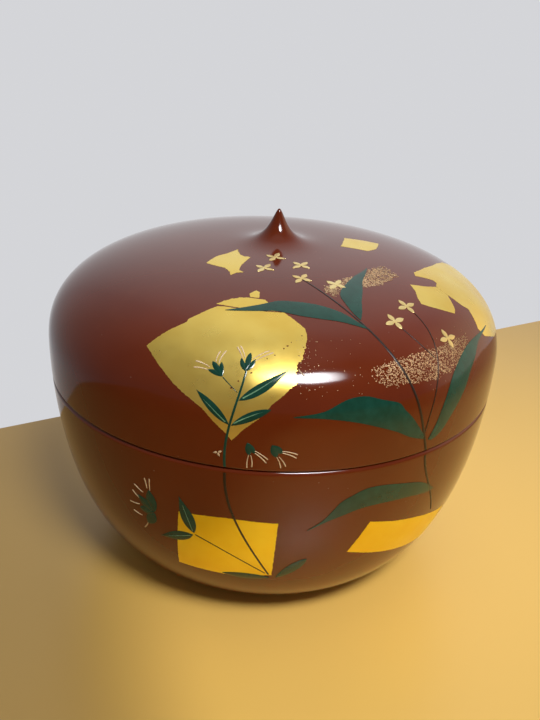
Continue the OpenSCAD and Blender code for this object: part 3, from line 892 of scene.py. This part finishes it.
def gild():
    """Foils. A third value tears the edge that starts at that corner."""
    fan = [
        (-7.2, 5.1), (-4.8, 7.2), (-2, 9), (0.4, 11.1), (4, 13.4, 0.16), (5.5, 14.6, 0.24),
        (5.5, 16.6, 0.26), (7.2, 18.4, 0.24), (8, 20, 0.18), (8.6, 21.4, 0.06), (8.9, 22.8), (8.6, 24),
        (6.1, 25.9), (3.2, 27.6), (-15.4, 27.8), (-18, 27.6, 0.06), (-20, 26.4, 0.06), (-23.8, 23.4),
        (-23.7, 22.8), (-27, 20.4, 0.06), (-28.8, 18.4), (-30, 16.9), (-28, 16), (-20.2, 12.3),
        (-13.7, 9.7), (-8.3, 6.1),
    ]
    holes = [pinhole(a, s, size, k) for k, (a, s, size) in enumerate([
        (7.5, 22.5, 0.14), (4.7, 21.2, 0.12), (3.7, 20.5, 0.20), (2.8, 20, 0.18), (0.7, 18.8, 0.15),
        (-1, 18.1, 0.11), (-4.2, 15.7, 0.19), (-6.7, 14.3, 0.18), (-8, 13.2, 0.20), (-26.2, 16.7, 0.08),
        (7.6, 20.3, 0.14), (6.3, 18.8, 0.12),
    ])]
    lay_foil("fan_foil", fan, 3, holes=holes)
    strip = [
        (3.2, 27.8), (-2.1, 30), (-3.4, 30.8), (-8.9, 31, 0.08), (-12.5, 30.7, 0.10), (-15.3, 30, 0.12),
        (-17, 29.2, 0.12), (-18.8, 28.1, 0.08), (-16, 28.05), (-9, 28),
    ]
    lay_foil("torn_foil", strip, 5, 0.02)
    flake = [
        (-5.6, 31.2), (-5.7, 31.9, 0.08), (-6.1, 33, 0.08), (-7.6, 33.3, 0.08), (-8.7, 32.8, 0.08),
        (-9.7, 32.1, 0.08), (-8.8, 31.2),
    ]
    lay_foil("foil_flake", flake, 6, 0.03, spacing=0.3)
    star = [
        (-18.2, 39.1), (-22, 39.6, 0.08), (-24, 41.5), (-25.7, 45.7, 0.12), (-33, 45.4, 0.12),
        (-40.3, 46, 0.14), (-50.6, 47.2, 0.12), (-48.2, 44.6, 0.12), (-48.8, 42.6, 0.08),
        (-44.3, 39, 0.08), (-37, 39.2, 0.08), (-30.6, 39.3, 0.10), (-25.7, 38.4, 0.08), (-23.2, 37.2),
        (-21.8, 38.5),
    ]
    lay_foil("crown_foil", star, 8)
    back = [(87, 39.6), (94, 37.8), (106, 36.2), (115.6, 42.2), (104, 43.6), (90, 44.6)]
    lay_foil("back_foil", back, 9, 0.05)
    sheet = [
        (68, 25.9), (71.2, 26.2), (72.3, 27), (71.1, 28.4), (69.2, 30), (72.5, 30.6, 0.06),
        (82, 29, 0.06), (94, 25.8, 0.06), (100, 23.4, 0.06), (104, 20, 0.08), (105, 16, 0.08),
        (99, 13, 0.08), (90, 11.4, 0.08), (80, 11), (72, 11.9), (64.6, 14), (63.3, 15.8), (67.4, 19.2),
        (66.4, 20.6), (66.8, 23.5),
    ]
    lay_foil("side_foil", sheet, 12)
    corner = [
        (66.7, 23.5), (67.9, 25.9), (63.7, 27.4), (59.3, 29.5), (56.6, 27.8), (53.2, 26.4), (51.4, 25),
        (53, 23.9), (55.6, 22.4), (59.3, 20.4), (61.4, 20.9), (63.8, 22.1),
    ]
    lay_foil("corner_foil", corner, 14, 0.03)
    square = [
        (2.8, -23.8), (3.3, -10.2), (-8, -9.8), (-19.4, -10.5), (-20.7, -17), (-22.2, -24.5),
        (-9.7, -24.8),
    ]
    lay_foil("square_foil", square, 20, 0.03, body="body", slot="deep_gold_foil")
    slant = [
        (21.2, -18.6), (32.4, -21.6), (44, -24.2), (55, -26.4), (57, -18.8), (51, -17.6), (41.4, -15.3),
        (33.4, -13.7), (25.3, -11.9),
    ]
    lay_foil("slant_foil", slant, 21, 0.03, body="body", slot="deep_gold_foil")


# Millimetres over which a field of dust runs out, and how far past its outline
FIELD_EDGE = 0.5
FIELD_SPREAD = 0.2


def field_density(field, rough, fade):
    """Chance of a flake at a chart place: 1 inside a field's outline, and 0 past its uneven edge."""
    loop = np.array(field, float) * (CHART_MM, 1)
    ahead = np.roll(loop, -1, axis=0) - loop
    reach = (ahead * ahead).sum(1)

    def density(a, s):
        at = np.array([a * CHART_MM, s])
        share = np.clip(((at - loop) * ahead).sum(1) / reach, 0, 1)[:, None]
        gap = np.hypot(*(at - loop - share * ahead).T).min()
        depth = gap if inside(at[None, :], loop)[0] else -gap
        uneven = noise.noise(Vector((a * 0.5, s * 0.9, rough)))
        clumps = 0.75 + 0.5 * noise.noise(Vector((a * 1.7, s * 2.6, rough + 5)))
        edge = (depth + 0.5 * uneven + FIELD_SPREAD) / FIELD_EDGE
        return max(0.0, min(1.0, edge)) * clumps * fade(a)

    return density


def dust(name, rng, groups, nodes):
    """Gold dust on the lid. A group is its count, box corners, density and range of flake radii."""
    places = []
    sizes = []
    for count, low, high, density, radii in groups:
        more = scatter(rng, count, low, high, density)
        places += more
        sizes += [rng.uniform(*radii) for _ in more]
    place(flakes(name, places, sizes, rng), "lid", nodes, "gold_dust")


def sprinkle():
    """Two fields of gold dust, and a fringe beside the fan."""
    rng = random.Random(7)
    field = [
        (22, 15.4), (24, 16.2), (30, 16.9), (38, 17), (46, 17), (52.5, 16.8), (56, 17), (55.5, 15),
        (46.5, 12.8), (38, 12.2), (31, 12.9), (27, 12.6), (23.6, 13.6),
    ]
    # The lower field thins towards both of its ends, and the upper one towards its right end
    density = field_density(field, 2, lambda a: min(1, 0.45 + (a - 21) / 14, 1.5 - (a - 46) / 12))
    dust("lower_dust", rng, [
        (2200, (20, 11.5), (57, 18), density, (0.03, 0.10)),
        (50, (17, 10), (56, 19), lambda a, s: 0.3, (0.03, 0.06)),
    ], ["lid_lower_dust"])
    field = [
        (20.5, 34.2), (26, 35.8), (38, 36.6), (46, 36.3), (55, 37), (67, 36.2), (65, 33.9), (62, 32.2),
        (55, 32.4), (48, 32.1), (38, 33), (29, 32.8), (23.5, 31.8), (20.5, 32.8),
    ]
    density = field_density(field, 4, lambda a: 1 - max(0, a - 55) / 24)
    dust("upper_dust", rng, [(1700, (18, 30.5), (70, 38.5), density, (0.05, 0.13))], ["lid_upper_dust"])
    dust("stray_dust", rng, [
        (90, (6, 12), (24, 22), lambda a, s: math.exp(-(a - 6) / 3.4), (0.025, 0.065)),
    ], [])


# --- Plants -----------------------------------------------

THICK_STEM = 0.46
THIN_STEM = 0.3


def paint_on(name, shapes, slot, body="lid"):
    """Painted relief. Its CAD node is named after its body and itself."""
    place(relief(name, shapes), body, [body + "_" + name], slot)


def paint_lid():
    """Plants on the lid. Wide leaves go from tip to base by their upper and lower edges."""
    stems = [stem([(14, 37.6), (24, 31), (29, 18), (37, 0.35)], 0.22, THICK_STEM, 90)]
    paint_on("thick_stem", stems, "brown_paint")
    leaves = {
        "long_leaf": (
            [(-15, 27), (-5.5, 29.2), (1, 30.6), (6.5, 30.6), (12.5, 30), (17.5, 28.8), (22, 26.8),
             (26.8, 22.8)],
            [(-15, 26.9), (-4.5, 27.7), (1, 27.9), (8.5, 26.8), (18, 25.4), (22.5, 24.2), (26.8, 22.7)],
        ),
        "upright_leaf": (
            [(56.5, 37.5), (41, 36.4), (30, 34), (25.5, 31.8), (24.8, 29.5), (25, 26.8), (25.8, 25)],
            [(56.5, 37.4), (48, 35.9), (40.8, 34.1), (32.6, 30.1), (29.9, 28.2), (27.9, 26.5), (26, 25)],
        ),
        "broad_leaf": (
            [(5, 9.5), (11, 10.2), (15, 11.5), (17.5, 12), (20.5, 12), (24, 11.2), (28, 10.2),
             (29.5, 8.9), (31.7, 7.2), (35.6, 3.4)],
            [(5, 9.4), (11.7, 9.1), (19, 8), (26.8, 5.8), (31.5, 3.9), (35.6, 2.7)],
        ),
        "side_leaf": (
            [(69, 15), (58, 15.3), (52.4, 14.8), (47.5, 13.4), (43.8, 11.5), (41, 8.4), (38.7, 4.5),
             (37, 2.3)],
            [(69, 14.9), (60, 14.4), (55, 12.7), (51, 10.9), (48.4, 8.8), (44.8, 5.9), (41, 2.9),
             (38.2, 2)],
        ),
    }
    for name, (upper, lower) in leaves.items():
        paint_on(name, [wide_leaf(upper, lower)], "green_paint")
    florets = []
    centres = [
        (-2, 47.1, 70), (-8, 41.9, 68), (19, 43.4, 32), (13.6, 38.1, 50), (28, 35.1, 35), (45, 25.7, 0),
        (36, 23.4, 4), (48.3, 17.5, -5),
    ]
    for a, s, turn in centres:
        florets += floret(a, s, turn)
    paint_on("florets", florets, "gold_paint")
    stalks = [
        stem([(45, 24.6), (45, 17), (37.5, 13), (35.8, 4)], 0.16, 0.24),
        stem([(36.4, 21.8), (37.5, 19.5), (39.2, 17), (40.6, 15.4)], 0.16, 0.18, 30),
    ]
    paint_on("floret_stalks", stalks, "brown_paint")
    sprig = [
        stem([(-5.3, 15.9), (-6.2, 11), (-9.2, 6), (-8.5, 0.35)], THIN_STEM, THIN_STEM * 1.4),
        stem(straight((-10.1, 14.6), (-6.6, 12.6)), 0.16, 0.1, 12),
    ]
    paint_on("sprig_stem", sprig, "green_paint")
    leaves = [
        small_leaf((-6.2, 11.5), (3.9, 16.5), 1.5, 0.4, -0.15),
        small_leaf((-7.9, 7.7), (-15.2, 12.2), 1.35, 0.45, -0.1),
        small_leaf((-7.4, 7.6), (0.5, 10.5), 1.35, 0.5, 0.2),
    ]
    paint_on("sprig_leaves", leaves, "green_paint")
    ribs = [
        rib((-5.4, 11.9), (1.8, 15.5), 0.18, -0.1),
        rib((-8.6, 8.1), (-13.4, 11), 0.18, -0.05),
        rib((-6.9, 8), (-1.2, 10.1), 0.18, 0.15),
    ]
    place(relief("sprig_ribs", ribs), "lid", [], "green_paint", "pale_green_paint")
    buds = [small_leaf(*values) for values in [
        ((-5.5, 15.9), (-4.9, 18.9), 0.85, 0.55), ((-5.5, 15.9), (-6.8, 17.9), 0.7, 0.5, 0.1),
        ((-5.4, 15.9), (-3.6, 17.9), 0.7, 0.5, -0.1), ((-10.2, 14.7), (-13.1, 16.8), 0.85, 0.55),
        ((-10.2, 14.7), (-13.7, 15.4), 0.7, 0.5, -0.1), ((-10.2, 14.8), (-11, 16.9), 0.7, 0.5, 0.1),
    ]]
    paint_on("sprig_buds", buds, "green_paint")
    stamens = [stamen(*values) for values in [
        ((-6.5, 17.8), (-8.3, 19.7), -0.1), ((-6, 18), (-7.5, 19.9), -0.1),
        ((-4.1, 17.9), (-0.5, 19.5), 0.15), ((-3.8, 17.5), (0.4, 19.2), 0.15),
        ((-13.4, 15.8), (-16.9, 16.4), -0.15), ((-13.2, 15.3), (-16.9, 15.4), -0.15),
        ((-12.3, 16.7), (-11.9, 18.6), 0.15), ((-11.6, 16.6), (-10.6, 18.8), 0.15),
        ((6.1, 16.6), (7.3, 15.6), -0.12, 0.18),
    ]]
    paint_on("sprig_stamens", stamens, "cream_paint")
    hanging = [small_leaf(*values) for values in [
        ((-4, 5), (-3.5, 2.9), 0.9, 0.55), ((-4, 5), (-2.4, 3.3), 0.9, 0.55),
        ((1, 4.9), (2, 2.8), 1.1, 0.55), ((0.9, 4.8), (3.2, 3.6), 1.1, 0.55),
    ]]
    paint_on("hanging_buds", hanging, "green_paint")
    stamens = [stamen(*values) for values in [
        ((-3.6, 3), (-3.9, 0.6), -0.1, 0.2), ((-3.2, 2.9), (-2.9, 0.8), 0.1, 0.2),
        ((-2.5, 3.4), (0, 1.7), 0.1, 0.2), ((-2.4, 3.7), (0.3, 2.3), 0.1, 0.2),
        ((2, 2.9), (3, 0.9), 0.1, 0.2), ((2.5, 2.9), (4, 1.2), 0.1, 0.2),
        ((3.1, 3.6), (6.1, 2.7), 0.1, 0.2), ((3.1, 3.9), (6.3, 3.3), 0.1, 0.2),
    ]]
    paint_on("hanging_stamens", stamens, "cream_paint")
    speck = [
        small_leaf((-9.9, 2.8), (-9.1, 3.1), 0.35), small_leaf((-10.1, 2.8), (-10.9, 2.6), 0.35),
        small_leaf((-10, 2.7), (-9.6, 2.1), 0.35),
    ]
    paint_on("speck_floret", speck, "cream_paint")


def paint_body():
    """Plants on the body, some of which go on from the lid's."""
    stems = [stem([(37.2, -0.75), (38, -5), (43, -9), (47, -15.5)], THICK_STEM, 0.25)]
    place(relief("lower_thick_stem", stems), "body", ["body_thick_stem"], "brown_paint")
    leaf = wide_leaf(
        [(10, -11.8), (13.3, -9.8), (15.3, -7.8), (17, -6.2), (19.4, -5.2), (22.4, -4.3), (26.5, -4.3),
         (32, -5.1), (38.3, -6.5), (43.8, -9.2)],
        [(10, -11.9), (14.2, -10.2), (17.8, -9.2), (21.7, -8.3), (26, -8.1), (30.4, -8.3), (35.5, -8.7),
         (40.2, -9.4), (43.8, -9.5)],
    )
    place(relief("body_leaf", [leaf]), "body", ["body_long_leaf"], "green_paint")
    stems = [
        stem([(-8.5, -0.75), (-8.8, -8), (-4, -14), (2, -23.6)], THIN_STEM * 1.4, THIN_STEM),
        stem([(-15.8, -15), (-10, -16.9), (-4, -20), (1.1, -23.2)], THIN_STEM * 0.7, THIN_STEM * 0.7),
    ]
    place(relief("lower_thin_stems", stems), "body", ["body_thin_stems"], "brown_paint")
    leaves = [
        small_leaf((-16, -14.6), (-19, -7.2), 2.3),
        small_leaf((-16.4, -15.2), (-25.4, -17.8), 2.1),
    ]
    place(relief("corner_leaves", leaves), "body", ["body_sprig_leaves"], "green_paint")
    ribs = [
        rib((-16.3, -14.2), (-18.2, -8.8), 0.14),
        rib((-17, -15.4), (-23, -17.1), 0.14),
    ]
    place(relief("corner_ribs", ribs), "body", [], "green_paint", "pale_green_paint")
    leaves = [
        small_leaf((4, -24.6), (11, -19), 2, 0.55),
        small_leaf((2.4, -24.6), (-10, -24.4), 1.8, 0.5),
    ]
    paint_on("foot_leaves", leaves, "green_paint", "body")
    bud = [small_leaf(*values) for values in [
        ((-26, -12.4), (-26.8, -7.9), 1.9, 0.5), ((-26.2, -12.4), (-30.2, -9.8), 1.7, 0.5),
        ((-26.2, -12.6), (-30.2, -12.6), 1.7, 0.5), ((-26, -12.8), (-28.6, -15.8), 1.9, 0.5),
    ]]
    paint_on("side_bud", bud, "green_paint", "body")
    stamens = [stamen(*values) for values in [
        ((-27.2, -7.6), (-27.6, -5.6), -0.05), ((-26.4, -7.8), (-26.2, -5.4), 0.05),
        ((-28.4, -8.8), (-30.8, -7.7), 0.1), ((-29.8, -10.4), (-31.6, -9.2), 0.1),
        ((-30.2, -11.9), (-33.1, -12.1), 0.1), ((-30, -14.4), (-32.5, -14), 0.1),
        ((-28.6, -15.6), (-30.2, -17.4), 0.1),
    ]]
    paint_on("side_stamens", stamens, "cream_paint", "body")


# --- Studio -----------------------------------------------

# The table, in metres behind, in front and to each side, and the painted shade on its left: a darker
# colour mixed into the table's own, standing in for a soft shadow
WALL_SIDE = Vector((-0.5, 0.866, 0))
TABLE_BEHIND = 0.059
TABLE_FRONT = 3
TABLE_HALF_W = 3
PAINTED_SHADE_SIDE = Vector((-0.94, -0.34, 0))
PAINTED_SHADE_START = 0.02
PAINTED_SHADE_END = 0.046
PAINTED_SHADE = (0.44, 0.27, 0.066)


def lay_floor():
    """Pale table top that ends in a straight edge behind the caddy, with a soft painted shade on its
    left.
    """
    f = Finish("table_top")
    grain = f.noise(9, 3, 0.5, f.stretched((1, 0.3, 1)))
    wood = f.ramp(grain, [(0.3, (0.85, 0.52, 0.115)), (0.7, (0.92, 0.58, 0.140))])
    # Painted shadow: the wood colour darkens towards the left by position, not by any lamp
    colour = f.blend(f.share(f.along(PAINTED_SHADE_SIDE), PAINTED_SHADE_START, PAINTED_SHADE_END), wood, PAINTED_SHADE)
    material = f.finish(colour, f.ramp(f.noise(30, 2), [(0.3, 0.32), (0.7, 0.38)]))
    along = Vector((WALL_SIDE.y, -WALL_SIDE.x, 0)) * TABLE_HALF_W
    edge = WALL_SIDE * TABLE_BEHIND
    front = WALL_SIDE * -TABLE_FRONT
    corners = [edge - along, edge + along, front + along, front - along]
    mesh = bpy.data.meshes.new("floor")
    mesh.from_pydata([tuple(c) for c in corners], [], [(3, 2, 1, 0)])
    floor = bpy.data.objects.new("floor", mesh)
    floor.data.materials.append(material)
    bpy.context.scene.collection.objects.link(floor)


# The room. Its walls go by the share of the way from front to back. Each RISE says where a change
# starts and ends, by how far a direction points up or to the glow.
ROOM_BACK = (0.06, 0.998, 0)
WALLS = [
    (0.0, (0.16, 0.14, 0.12)), (0.4, (0.18, 0.17, 0.16)), (0.73, (0.34, 0.34, 0.34)),
    (0.87, (0.46, 0.46, 0.48)), (0.96, (0.70, 0.71, 0.73)), (1.0, (0.78, 0.79, 0.81)),
]
CEILING = (0.46, 0.45, 0.44)
CEILING_RISE = (0.88, 0.99)
GLOW = (1.0, 0.84, 0.62)
GLOW_SIDE = (0.92, 0.34, 0.2)
GLOW_RISE = (0.80, 1.0)
BELOW = (0.30, 0.18, 0.05)
BELOW_RISE = (-0.70, -0.34)
BACKDROP = (0.66, 0.665, 0.69)


def light_room():
    """World round the caddy: pale wall behind and dimmer room in front. The camera sees a backdrop."""
    world = bpy.data.worlds.new("room")
    room = Nodes(world, "Generated")
    height = room.along((0, 0, 1))
    flat = room.add("ShaderNodeVectorMath", {0: room.place, 1: (1, 1, 0)}, operation="MULTIPLY")
    level = room.add("ShaderNodeVectorMath", {0: flat.outputs[0]}, operation="NORMALIZE")
    walls = room.ramp(room.share(room.along(ROOM_BACK, level.outputs[0]), -1, 1, "LINEAR"), WALLS)
    raised = room.blend(room.share(height, *CEILING_RISE), walls, CEILING)
    glowing = room.blend(room.share(room.along(GLOW_SIDE), *GLOW_RISE), raised, GLOW)
    whole = room.blend(room.share(height, *BELOW_RISE), BELOW, glowing)
    seen = room.add("ShaderNodeLightPath").outputs["Is Camera Ray"]
    room.feed(room.tree.nodes["Background"].inputs["Color"], room.blend(seen, whole, BACKDROP))
    bpy.context.scene.world = world


# The lamp: direction and spread in degrees, azimuth 0 in front and 90 to the right, sizes in metres
LAMP_AZIMUTH = 29
LAMP_ELEVATION = 51.5
LAMP_DISTANCE = 0.5
LAMP_W = 0.235
LAMP_H = 0.12
LAMP_WATTS = 0.106
LAMP_SPREAD = 32
LAMP_COLOUR = (0.94, 0.96, 1.0)
LAMP_FROM = Vector((0, 0, 0.045))
LAMP_AIM = Vector((0.035, -0.015, 0.03))


def hang_lamp():
    """Oval soft lamp that lights the right of the caddy."""
    light = bpy.data.lights.new("key", "AREA")
    light.shape = "ELLIPSE"
    light.size = LAMP_W
    light.size_y = LAMP_H
    light.energy = LAMP_WATTS
    light.color = LAMP_COLOUR
    light.spread = math.radians(LAMP_SPREAD)
    a = math.radians(LAMP_AZIMUTH)
    e = math.radians(LAMP_ELEVATION)
    away = Vector((math.sin(a) * math.cos(e), -math.cos(a) * math.cos(e), math.sin(e)))
    lamp = bpy.data.objects.new("key", light)
    lamp.location = LAMP_FROM + away * LAMP_DISTANCE
    lamp.rotation_euler = (lamp.location - LAMP_AIM).to_track_quat("Z", "Y").to_euler()
    lamp.visible_camera = False
    bpy.context.scene.collection.objects.link(lamp)


# The camera, placed and aimed in millimetres
EYE = Vector((0, -143.1, 103.4))
TARGET = Vector((-0.3, 0, 36.5))
LEAN = 2.92
LENS = 40.0
SENSOR = 36.0
CLIP_START = 0.01


def set_camera():
    """Above and in front of the caddy, leaning a little, as a telephone was held."""
    camera = bpy.data.cameras.new("camera")
    camera.lens = LENS
    camera.sensor_width = SENSOR
    camera.clip_start = CLIP_START
    eye = EYE * MM
    lean = math.radians(LEAN)
    forward = (TARGET * MM - eye).normalized()
    right = forward.cross(Vector((0, 0, 1))).normalized()
    up = right.cross(forward)
    leaning_right = math.cos(lean) * right + math.sin(lean) * up
    leaning_up = math.cos(lean) * up - math.sin(lean) * right
    turn = Matrix((leaning_right, leaning_up, -forward)).transposed()
    holder = bpy.data.objects.new("camera", camera)
    holder.matrix_world = Matrix.Translation(eye) @ turn.to_4x4()
    bpy.context.scene.collection.objects.link(holder)
    bpy.context.scene.camera = holder


set_camera()
turn_body()
turn_lid()
gild()
sprinkle()
paint_lid()
paint_body()
lay_floor()
light_room()
hang_lamp()
bpy.context.scene.view_settings.view_transform = "Standard"
